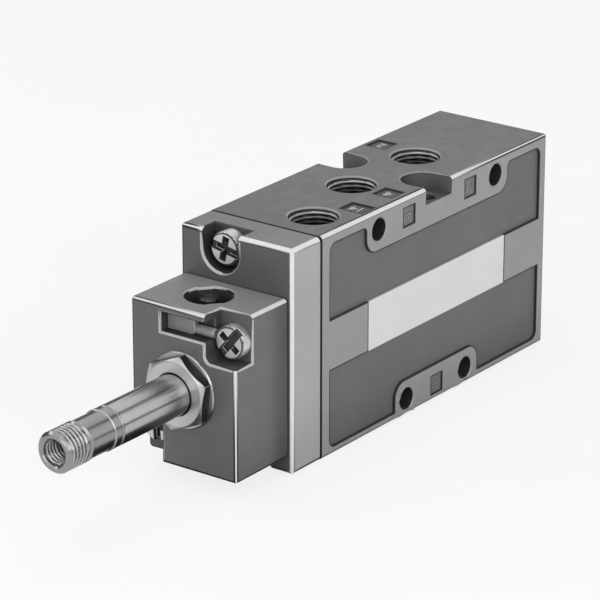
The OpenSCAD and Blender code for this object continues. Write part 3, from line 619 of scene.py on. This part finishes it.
def pale_grey(name, grey, dark=None, rough=0.38, foot=None):
    """Pale grey with a fine uneven tone, a painted highlight on chamfers, roundings and rims.

    dark is the grey of the painted shade where an edge starts to turn away. foot holds the greys of the
    painted shade where it looks straight to the front and straight to the near side."""
    nodes = Nodes(name)
    wear = nodes.noise(1.4, 3.0, seed=0.5)
    value = nodes.spread(wear, linear(grey) * 0.93, linear(grey) * 1.05)
    if foot is not None:
        for k in (0, 1):
            out = nodes.math("MULTIPLY", nodes.axis("Normal", k), -1.0)
            value = nodes.mix(nodes.spread(out, 0, 1, 0.9, 0.985, smooth=True), value, linear(foot[k]))
    if dark is not None:
        value = nodes.mix(away(nodes), value, linear(dark))
    nodes.grey(value)
    nodes.set(Roughness=nodes.spread(nodes.noise(2.0, 2.0, seed=0.9), rough - 0.05, rough + 0.1))
    nodes.set(Specular_IOR_Level=0.2)
    nodes.bump(wear, 0.15, 0.01)
    return nodes.material


def recess_shade(name, turned_off, turned_to):
    """Painted shade in pockets and notches: dark greys, between two by how far a wall turns to the front.
    """
    nodes = Nodes(name)
    value = nodes.spread(nodes.axis("Normal", 0), linear(turned_to), linear(turned_off), -0.9, 0.6)
    nodes.grey(speckled(nodes, value))
    nodes.set(Roughness=nodes.spread(nodes.noise(0.9, 3.0, seed=0.3), 0.5, 0.62))
    cast_bump(nodes)
    return nodes.material


def thread_metal(name, mouth, deep, reach):
    """Bare metal in a port, bright at its mouth and dimmed with painted shade from some share of its depth,
    which is reach.
    """
    nodes = Nodes(name)
    height = nodes.axis("Object", 2)
    low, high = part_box("housing")
    below = nodes.math("SUBTRACT", height, low.z)
    above = nodes.math("SUBTRACT", high.z, height)
    inner = nodes.math("MINIMUM", below, above)
    value = nodes.spread(
        inner, linear(mouth), linear(deep), 0.2 * MM, PORT_DEPTH * reach * MM, smooth=True
    )
    nodes.grey(speckled(nodes, value))
    nodes.set(Metallic=0.3, Roughness=nodes.spread(nodes.noise(2.0, 2.0), 0.36, 0.48))
    return nodes.material


def shade_and_joint_grey(name, grey):
    """Dark grey, a little uneven: painted shade round sunk places, in holes and in slots, and dark joints
    along seams.
    """
    nodes = Nodes(name)
    nodes.grey(nodes.spread(nodes.noise(2.5, 2.0, seed=0.6), linear(grey) * 0.7, linear(grey) * 1.4))
    nodes.set(Roughness=nodes.spread(nodes.noise(1.5, 2.0, seed=0.1), 0.6, 0.7))
    return nodes.material


def turned_steel(name, grey, rough=0.24, axis="X", ring=6.0):
    """Turned metal: fine rings round the axis, faint tone changes along it."""
    nodes = Nodes(name)
    grain = nodes.add("ShaderNodeTangent", direction_type="RADIAL", axis=axis)
    nodes.link(grain.outputs[0], nodes.shader.inputs["Tangent"])
    stretch = (1, 0.02, 0.02) if axis == "X" else (0.02, 0.02, 1)
    rings = nodes.noise(ring, 3.0, 0.7, stretch=stretch)
    tone = nodes.noise(0.25, 2.0, stretch=stretch, seed=0.4)
    value = nodes.math("MULTIPLY", nodes.spread(rings, 0.97, 1.02), nodes.spread(tone, 0.98, 1.02))
    nodes.grey(nodes.math("MULTIPLY", value, linear(grey)))
    nodes.set(
        Metallic=1.0, Roughness=nodes.spread(rings, rough - 0.01, rough + 0.015),
        Anisotropic=0.75, Anisotropic_Rotation=0.25,
    )
    nodes.bump(rings, 0.02, 0.001)
    return nodes.material


def plated_steel(name, grey, rough):
    """Zinc plated steel with a fine uneven sheen."""
    nodes = Nodes(name)
    cloud = nodes.noise(0.5, 3.0, 0.5)
    nodes.grey(nodes.spread(cloud, linear(grey) * 0.94, linear(grey) * 1.04))
    sheen = nodes.spread(nodes.noise(1.2, 2.0, seed=0.3), rough - 0.03, rough + 0.05)
    nodes.set(Metallic=0.85, Roughness=sheen)
    nodes.bump(nodes.noise(2.0, 2.0, seed=0.6), 0.08, 0.002)
    return nodes.material


def brushed_plate(name, grey):
    """Pale plate with brushing along the valve."""
    nodes = Nodes(name)
    lines = nodes.noise(5.0, 3.0, 0.65, stretch=(0.03, 1, 1))
    tone = nodes.noise(0.08, 2.0, seed=0.2)
    value = nodes.math("MULTIPLY", nodes.spread(lines, 0.93, 1.04), nodes.spread(tone, 0.97, 1.03))
    nodes.grey(nodes.math("MULTIPLY", value, linear(grey)))
    nodes.set(Metallic=0.15, Roughness=nodes.spread(lines, 0.34, 0.5))
    nodes.bump(lines, 0.15, 0.005)
    return nodes.material


def plain(name, colour, rough, metallic=0.0):
    """A coloured material with fine tone, gloss and surface changes."""
    nodes = Nodes(name)
    nodes.grey(nodes.spread(nodes.noise(2.0, 3.0), 0.88, 1.08), colour)
    gloss = nodes.spread(nodes.noise(3.4, 2.0, seed=0.4), rough - 0.05, rough + 0.08)
    nodes.set(Metallic=metallic, Roughness=gloss)
    nodes.bump(nodes.noise(4.2, 2.0, seed=0.8), 0.2, 0.01)
    return nodes.material


# Places of the cast pieces

HOUSING_LOW, HOUSING_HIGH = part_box("housing")
HOUSING_FRONT = HOUSING_LOW.x / MM
COVER_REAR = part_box("front_cover")[1].x / MM
BLOCK_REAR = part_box("pilot_block")[1].x / MM


# Materials, with display greys from 0 to 255

# The greys per face direction are partly two-tone paint and partly painted light and shade
PAINT = {
    "housing": cast_paint("housing_paint", top=102, side=150, front=92, deep=100, face_y=HOUSING_HIGH.y),
    "cover": cast_paint("cover_paint", top=120, side=168, front=88, rough=0.46),
    "block": cast_paint("block_paint", top=131, side=100, front=96, rough=0.44, seam=BLOCK_REAR),
    "slide": cast_paint("slide_paint", top=140, side=120, front=138, rough=0.4),
}
# Painted highlights on chamfers and roundings, with painted shade where they turn away and at their feet
EDGE = {
    "housing": pale_grey("housing_edge", 228, dark=60, foot=(60, 104)),
    "cover": pale_grey("cover_edge", 232, dark=46, foot=(60, 140)),
    "block": pale_grey("block_edge", 218, dark=46, foot=(60, 80)),
    "slide": pale_grey("slide_edge", 180, dark=60),
    "steel": pale_grey("steel_edge", 222, dark=110, rough=0.25),
}
# Painted highlights on the slanted rims of holes, with painted shade on some where they turn away
RIMS = {
    "housing": pale_grey("housing_rim", 160),
    "cover": pale_grey("cover_rim", 206, dark=36),
    "block": pale_grey("block_rim", 196, dark=40),
}
# Painted shade in pockets, notches and other deep places of the cast pieces
RECESS = {
    "housing": recess_shade("housing_recess", turned_off=45, turned_to=92),
    "cover": recess_shade("cover_recess", turned_off=34, turned_to=52),
    "block": recess_shade("block_recess", turned_off=36, turned_to=84),
}
# Painted shade round sunk places and in holes; along seams the same grey is the dark joint
OUTLINE = shade_and_joint_grey("shade_and_joint_grey", 38)
# Floors of the sunk squares, darker, with greys per face direction that are partly painted light and shade
SQUARE = cast_paint("square_paint", top=70, side=114, front=80)
SLOT_DARK = shade_and_joint_grey("slot_shade", 66)
# Painted shade that deepens down the ports, darker in the threads' roots
THREAD = thread_metal("port_thread_metal", mouth=176, deep=22, reach=0.42)
THREAD_ROOT = thread_metal("port_thread_root", mouth=44, deep=10, reach=0.3)
STEEL = turned_steel("tube_steel", 182, rough=0.22)
CORE_STEEL = turned_steel("core_steel", 150, rough=0.26)
# Painted highlight on the core's fine lines and crests, also the colour of the nut's chamfers, and painted
# shade in thread roots
BRIGHT_STEEL = turned_steel("bright_steel", 172, rough=0.34)
ROOT_STEEL = turned_steel("thread_root", 112, rough=0.4)
# Painted shade on the nut's flats
SHADED_FLATS = turned_steel("nut_flats", 78, rough=0.3)
NUT_STEEL = turned_steel("nut_steel", 190, rough=0.34, ring=3.0)
SCREW_STEEL = plated_steel("screw_zinc", 206, rough=0.4)
SPRING_STEEL = plated_steel("spring_wire", 190, rough=0.25)
PLATE = brushed_plate("plate_finish", 224)
RUBBER = plain("seal_rubber", (0.028, 0.028, 0.03), 0.55)
DARK_PLASTIC = plain("dark_plastic", (0.035, 0.036, 0.038), 0.42)
CAGE_PLASTIC = plain("cage_plastic", (0.66, 0.63, 0.54), 0.4)
BRASS = plain("seat_brass", (0.58, 0.43, 0.2), 0.28, metallic=1.0)
SPOOL_METAL = turned_steel("spool_metal", 200, rough=0.2)
# Painted shade: the button's steel is made dark where it sits deep in its recess
SHADED_PLUNGER = turned_steel("plunger_steel_in_shade", 70, rough=0.38, axis="Z")
DIGIT = pale_grey("digit_paint", 190)
SIDE_DIGIT = pale_grey("side_digit_paint", 135)
NUT_MATERIALS = [NUT_STEEL, EDGE["steel"], SHADED_FLATS, OUTLINE, OUTLINE, BRIGHT_STEEL]
SCREW_MATERIALS = [SCREW_STEEL, EDGE["steel"], SLOT_DARK, OUTLINE, OUTLINE, EDGE["steel"]]

# Pieces whose CAD shape is kept as it is
KEPT = {
    "cover_gasket": RUBBER, "block_gasket": RUBBER, "tube_oring": RUBBER, "override_oring": RUBBER,
    "armature_seal": RUBBER, "piston_seal": RUBBER,
    "armature": STEEL, "spool": SPOOL_METAL, "stack_retainer": SPOOL_METAL,
    "spring_seat": SPOOL_METAL, "piston": CAGE_PLASTIC, "pilot_seat": BRASS,
    "override_bush": DARK_PLASTIC, "override_plunger": SHADED_PLUNGER,
}
for port in "12345":
    KEPT["cage_" + port] = CAGE_PLASTIC
for letter in "abcdef":
    KEPT["spool_seal_" + letter] = RUBBER
for node, material in KEPT.items():
    NODES[node].data.materials.clear()
    NODES[node].data.materials.append(material)


# Pieces with fine chamfers

def before(rear):
    """A test that leaves out the edges of a rear face at some x in mm, which closes a seam."""
    return lambda edge: min(vert.co.x for vert in edge.verts) < (rear - SLACK) * MM


def shows(edge):
    """Leaves out the edges of the inner bores, which nobody sees, and of the sunk panels and squares."""
    if any(is_step(face) for face in edge.link_faces):
        return False
    middle = (edge.verts[0].co + edge.verts[1].co) / 2
    across = min(middle.y - HOUSING_LOW.y, HOUSING_HIGH.y - middle.y)
    upright = min(middle.z - HOUSING_LOW.z, HOUSING_HIGH.z - middle.z)
    return min(across, upright) < SHOWN_REACH * MM and middle.x > HOUSING_LOW.x + SLACK * MM


def painted(kind):
    """The six materials of a cast piece."""
    return [PAINT[kind], EDGE[kind], RECESS[kind], OUTLINE, SQUARE, RIMS[kind]]


def mark_well(bm):
    """Darkens the walls and the floor of the button's recess with painted shade."""
    low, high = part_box("override_bush")
    middle = (low + high) / 2
    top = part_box("pilot_block")[1].z
    shallow, deep = WELL_DEPTHS
    for face in bm.faces:
        place = face.calc_center_median()
        off = math.hypot(place.x - middle.x, place.y - middle.y)
        if off < WELL_REACH * MM and shallow * MM < top - place.z < deep * MM:
            face.material_index = LINE_SLOT


def mark_cross_holes(bm):
    """Darkens the walls of the holes that run right across the housing with painted shade."""
    long_enough = 4 * MM
    narrow_enough = 1.2 * MM
    for face in bm.faces:
        narrow = max(extent(face, 0), extent(face, 2)) < narrow_enough
        if extent(face, 1) > long_enough and narrow and inset(face, HOUSING_LOW, HOUSING_HIGH) > MM:
            face.material_index = LINE_SLOT


def mark_pocket(bm):
    """Darkens the rims that the screw's pocket has in the cover's top with painted shade, like its walls.
    """
    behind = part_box("front_cover")[0].x + FRONT_REACH * MM
    for face in bm.faces:
        is_rim = face.material_index == RIM_SLOT and face.normal.z > 0.3
        if is_rim and face.calc_center_median().x > behind:
            face.material_index = RECESS_SLOT


def mark_flats(bm):
    """Gives the nut's six flats a painted shade."""
    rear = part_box("tube_nut")[0].x + FLATS_REACH * MM
    smallest = 6 * MM * MM
    for face in bm.faces:
        radial = math.hypot(face.normal.y, face.normal.z) > STRAIGHT
        if radial and face.calc_area() > smallest and face.calc_center_median().x < rear:
            face.material_index = RECESS_SLOT


chamfered(
    "housing", painted("housing"), width=0.2, wanted=shows, radius=EDGE_R, lines=True,
    seam=HOUSING_FRONT, mark=mark_cross_holes,
)
chamfered(
    "front_cover", painted("cover"), width=0.42, wanted=before(COVER_REAR), radius=COVER_R,
    seam=COVER_REAR, mark=mark_pocket,
)
chamfered(
    "pilot_block", painted("block"), width=0.38, wanted=before(BLOCK_REAR), radius=EDGE_R,
    seam=BLOCK_REAR, mark=mark_well,
)
chamfered("tube_nut", NUT_MATERIALS, width=0.13, degrees=28, mark=mark_flats)
chamfered("armature_tube", [STEEL] * 6, width=0.06)
screws("cover_screws")
screws("block_screws")
chamfered("override_slide", [PAINT["slide"]] * 5 + [EDGE["slide"]], width=0.15)
chamfered("nameplate", [PLATE] * 6, width=0.08)


# Threads

def port_thread(number, x, y, up):
    """Thread inside one port. up is 1 on the top and -1 underneath."""
    wall = PORT_R - 0.02
    root = PORT_R - 0.05
    start = PORT_CHAMFER + 0.1
    end = PORT_DEPTH - 0.3
    root_limit = root - PORT_THREAD[0] * 0.45
    profile = threaded(-start, -end, root, PORT_THREAD) + unthreaded([(-end, wall), (-start, wall)])
    centre = Vector((x * MM, y * MM, HOUSING_HIGH.z if up > 0 else HOUSING_LOW.z))
    turn = Matrix.Identity(4) if up > 0 else Matrix.Rotation(math.pi, 4, "X")

    def pick(along, radius):
        """0 crests, 1 roots, which get a darker painted shade."""
        return 1 if radius > root_limit else 0

    turned("port_thread_%d" % number, profile, centre, turn, [THREAD, THREAD_ROOT], pick)


port_thread(4, -PORT_PITCH, 0, 1)
port_thread(2, PORT_PITCH, 0, 1)
port_thread(14, PILOT_PORT[0], PILOT_PORT[1], 1)
for number, step in ((5, -2), (1, 0), (3, 2)):
    port_thread(number, step * PORT_PITCH, 0, -1)


def fixed_core():
    """The tube's end: weld band, plain shank, outer thread and threaded exhaust hole."""
    low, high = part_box("fixed_core")
    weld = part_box("armature_tube")[0].x / MM
    end = low.x / MM
    pole = high.x / MM
    tube = (high.z - low.z) / 2 / MM
    crest = tube - 0.05
    shank = tube - 0.2
    relief = tube - 0.45
    groove = tube - 0.25
    hole_end = end + EXHAUST_DEPTH
    thread = end + CORE_THREAD_LEN
    band = weld - WELD_BAND
    relief_x = (thread + 0.3, thread + 0.8)
    ring_x = (thread + 1.1, thread + 1.4)
    shank_x = (thread + 1.6, band - 0.2)
    slot_x = (weld - 0.5, weld - 0.3)
    slope = 0.2
    seam = weld - 0.02
    hole_rim = 0.3
    end_rim = 0.6
    profile = unthreaded([(pole, relief), (pole, VENT_R), (hole_end, VENT_R), (hole_end, EXHAUST_R)])
    profile += threaded(hole_end - 0.4, end + 0.45, EXHAUST_R, HOLE_THREAD)
    profile += unthreaded([
        (end + hole_rim, EXHAUST_R), (end, EXHAUST_R + hole_rim), (end, crest - end_rim),
        (end + end_rim * 0.2, crest - end_rim * 0.7), (end + end_rim, crest),
    ])
    profile += threaded(end + end_rim + 0.02, thread, crest, CORE_THREAD)
    profile += unthreaded([
        (relief_x[0], relief), (relief_x[1], relief), (ring_x[0], crest), (ring_x[1], crest),
        (shank_x[0], shank), (shank_x[1], shank), (band, tube), (slot_x[0] - slope, tube),
        (slot_x[0], groove), (slot_x[1], groove), (slot_x[1] + slope, crest), (seam, crest), (seam, relief),
    ])
    bright_lines = (band - 0.1, weld - 0.6, weld - 0.12, thread + 1.25)
    line_reach = 0.075
    hole_root = EXHAUST_R - 0.16
    thread_root = crest - 0.24
    lit_end = end + 3.4

    def pick(along, radius):
        """0 plain, 1 painted highlight on fine lines and thread crests, 2 painted shade in thread roots and
        the deep hole.
        """
        if radius < EXHAUST_R + SLACK:
            return 2 if radius > hole_root or along > lit_end else 1
        if end + end_rim < along < thread:
            return 2 if radius < thread_root else 1
        return 1 if any(abs(along - line) < line_reach for line in bright_lines) else 0

    centre = Vector((0, (low.y + high.y) / 2, (low.z + high.z) / 2))
    turn = Matrix.Rotation(math.pi / 2, 4, "Y")
    finish = [CORE_STEEL, BRIGHT_STEEL, ROOT_STEEL]
    piece = turned("fixed_core_body", profile, centre, turn, finish, pick)
    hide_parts("fixed_core")


fixed_core()


# Springs

def spring(row):
    """A wire spring, a smoothed copy of its CAD node in its place. Its still end and axis are worked out
    from the record, but not used.
    """
    node = row["node"]
    letter = row["mode"][-1]
    axis = "xyz".index(letter)
    low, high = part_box(node)
    still = (low + high) / 2
    still[axis] = row["fixed_end_%s_m" % letter]
    along = Vector((0, 0, 0))
    along[axis] = 1
    bm = joined_mesh(node)
    smooth_by_angle(bm, SPRING_DEGREES)
    name = node + "_wire"
    piece = add_piece(name, to_mesh(name, bm), [SPRING_STEEL])
    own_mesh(piece)
    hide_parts(node)


for joint in frame["record"]["behaviour"]["joints"]:
    for row in joint.get("deforming_nodes", []):
        spring(row)


# Port numbers in the sunk squares

TOP_Z = HOUSING_HIGH.z / MM - LABEL_DEPTH
SIDE_Y = HOUSING_LOW.y / MM + LABEL_DEPTH
UPPER_Z = HOUSING_HIGH.z / MM - UPPER_DROP
TO_FAR_SIDE = Vector((0, 1, 0))
UPWARD = Vector((0, 0, 1))
TO_FRONT = Vector((-1, 0, 0))
DIGIT_SIZE = 3.4
PILOT_DIGIT_SIZE = 3.2
DIGIT_RISE = 0.06
DIGIT_BEVEL = 0.03
DIGIT_THINNING = 0.05


def digits(name, text, centre, right, material, size=DIGIT_SIZE):
    """Raised figures on a sunk square. They read towards right, with their heads to the valve's front."""
    curve = bpy.data.curves.new(name, "FONT")
    curve.body = text
    curve.size = size * MM
    curve.align_x = "CENTER"
    curve.align_y = "CENTER"
    curve.extrude = DIGIT_RISE * MM
    curve.bevel_depth = DIGIT_BEVEL * MM
    curve.offset = -DIGIT_THINNING * MM
    curve.resolution_u = 4
    lettering = bpy.data.objects.new(name, curve)
    bpy.context.scene.collection.objects.link(lettering)
    mesh = bpy.data.meshes.new_from_object(lettering)
    bpy.data.objects.remove(lettering)
    bpy.data.curves.remove(curve)
    out = right.cross(TO_FRONT)
    turn = Matrix((right, TO_FRONT, out)).transposed().to_4x4()
    mesh.transform(Matrix.Translation(Vector(centre) * MM + out * (DIGIT_RISE + DIGIT_BEVEL) * MM) @ turn)
    mesh.materials.clear()
    mesh.name = name
    add_piece(name, mesh, [material])


PILOT_SQUARE = (PILOT_PORT[0] + PORT_R + 3.5, PILOT_PORT[1] - 4, TOP_Z)
digits("number_14", "14", PILOT_SQUARE, TO_FAR_SIDE, DIGIT, PILOT_DIGIT_SIZE)
digits("number_4", "4", (-PORT_PITCH + 0.1, -PORT_R - 3.7, TOP_Z), TO_FAR_SIDE, DIGIT)
digits("number_2", "2", (PORT_PITCH + 1.7, PORT_R + 4.5, TOP_Z), TO_FAR_SIDE, DIGIT)
digits("side_number_4", "4", (-PORT_PITCH + 0.7, SIDE_Y, UPPER_Z), UPWARD, SIDE_DIGIT)
digits("side_number_2", "2", (PORT_PITCH, SIDE_Y, UPPER_Z), UPWARD, SIDE_DIGIT)
digits("side_number_1", "1", (0, SIDE_Y, LOWER_RISE), UPWARD, SIDE_DIGIT)


# Camera

def camera():
    """A camera at the photograph's viewing angle. It steps aside and down to the photograph's framing."""
    ahead = Vector((math.cos(YAW) * math.cos(PITCH), math.sin(YAW) * math.cos(PITCH), -math.sin(PITCH)))
    right = Vector((math.sin(YAW), -math.cos(YAW), 0))
    up = right.cross(ahead)
    place = AIM - SIDE_STEP * right - RISE * up - DISTANCE * ahead
    data = bpy.data.cameras.new("camera")
    data.sensor_width = SENSOR
    data.lens = SENSOR * LENS_PIXELS / FRAME_PIXELS
    data.clip_start = NEAREST
    shot = bpy.data.objects.new("camera", data)
    shot.matrix_world = Matrix.Translation(place) @ Matrix((right, up, -ahead)).transposed().to_4x4()
    bpy.context.scene.collection.objects.link(shot)
    bpy.context.scene.camera = shot


camera()


# Stage and light

FLOOR_SIZE = 4.0
FLOOR_DROP = 0.1 * MM
FLOOR_GLOW = 0.8
SKY_LIGHT = 0.34
SKY_SEEN = 1.0

# Area lights: name, place and size in mm, and power in watts
LIGHTS = (
    ("key", (-240, -620, 340), (700, 420), 2.5),
    ("over", (-60, 60, 700), (800, 420), 1.15),
    ("fill", (-620, -60, 260), (300, 300), 0.5),
    ("rear", (-240, 640, 300), (600, 350), 1.5),
)

# Black cards that only reflections see: name and two corners in mm
FLAGS = (
    ("low_flag", (-66, -22, 0.6), (260, 18, 0.6)),
    ("tube_flag", (-92, -22, 0.6), (-66, 5, 0.6)),
    ("back_flag", (-500, 420, 0), (500, 420, 260)),
    ("side_flag", (-500, -520, 0), (500, -520, 110)),
    ("gap_flag", (-600, -390, 620), (600, -160, 620)),
)


def floor():
    """A pale floor that the camera and reflections see nearly white."""
    bm = bmesh.new()
    bmesh.ops.create_grid(bm, x_segments=4, y_segments=4, size=FLOOR_SIZE)
    mesh = to_mesh("floor", bm)
    nodes = Nodes("floor_finish")
    nodes.grey(nodes.spread(nodes.noise(0.02, 2.0), 0.90, 0.93))
    nodes.set(Roughness=0.9)
    glow = nodes.add("ShaderNodeEmission")
    glow.inputs["Strength"].default_value = 1.0
    path = nodes.add("ShaderNodeLightPath")
    seen = nodes.math("MAXIMUM", path.outputs["Is Camera Ray"], path.outputs["Is Glossy Ray"])
    blend = nodes.add("ShaderNodeMixShader")
    output = nodes.tree.nodes["Material Output"]
    nodes.link(nodes.math("MULTIPLY", seen, FLOOR_GLOW), blend.inputs["Fac"])
    nodes.link(nodes.shader.outputs[0], blend.inputs[1])
    nodes.link(glow.outputs[0], blend.inputs[2])
    nodes.link(blend.outputs[0], output.inputs["Surface"])
    mesh.materials.append(nodes.material)
    plane = bpy.data.objects.new("floor", mesh)
    plane.location.z = CAD_BOX[0][2] - FLOOR_DROP
    bpy.context.scene.collection.objects.link(plane)


def sky():
    """A soft even world, white where the camera or a reflection sees it."""
    world = bpy.data.worlds.new("studio")
    world.use_nodes = True
    tree = world.node_tree
    background = tree.nodes["Background"]
    background.inputs["Color"].default_value = (1, 1, 1, 1)
    path = tree.nodes.new("ShaderNodeLightPath")
    seen = tree.nodes.new("ShaderNodeMath")
    seen.operation = "MAXIMUM"
    tree.links.new(path.outputs["Is Camera Ray"], seen.inputs[0])
    tree.links.new(path.outputs["Is Glossy Ray"], seen.inputs[1])
    level = tree.nodes.new("ShaderNodeMapRange")
    level.inputs["To Min"].default_value = SKY_LIGHT
    level.inputs["To Max"].default_value = SKY_SEEN
    tree.links.new(seen.outputs[0], level.inputs["Value"])
    tree.links.new(level.outputs["Result"], background.inputs["Strength"])
    bpy.context.scene.world = world


def softbox(name, place, size, power):
    """An area light aimed at the valve's middle."""
    data = bpy.data.lights.new(name, "AREA")
    data.shape = "RECTANGLE"
    data.size = size[0] * MM
    data.size_y = size[1] * MM
    data.energy = power
    lamp = bpy.data.objects.new(name, data)
    lamp.location = Vector(place) * MM
    lamp.rotation_euler = (AIM - lamp.location).to_track_quat("-Z", "Y").to_euler()
    bpy.context.scene.collection.objects.link(lamp)


def flag(name, low, high, cloth):
    """A black card between two corners, seen only in reflections."""
    flat = [k for k in range(3) if low[k] == high[k]][0]
    first, second = [k for k in range(3) if k != flat]
    bm = bmesh.new()
    verts = []
    for a, b in ((0, 0), (1, 0), (1, 1), (0, 1)):
        corner = list(low)
        corner[first] = (low, high)[a][first]
        corner[second] = (low, high)[b][second]
        verts.append(bm.verts.new(Vector(corner) * MM))
    bm.faces.new(verts)
    mesh = to_mesh(name, bm)
    mesh.materials.append(cloth)
    card = bpy.data.objects.new(name, mesh)
    card.visible_camera = False
    card.visible_diffuse = False
    card.visible_shadow = False
    card.visible_transmission = False
    bpy.context.scene.collection.objects.link(card)


floor()
sky()
for name, place, size, power in LIGHTS:
    softbox(name, place, size, power)
FLAG_CLOTH = plain("flag_cloth", (0.012, 0.012, 0.012), 0.9)
for name, low, high in FLAGS:
    flag(name, low, high, FLAG_CLOTH)
bpy.context.scene.view_settings.view_transform = "Standard"
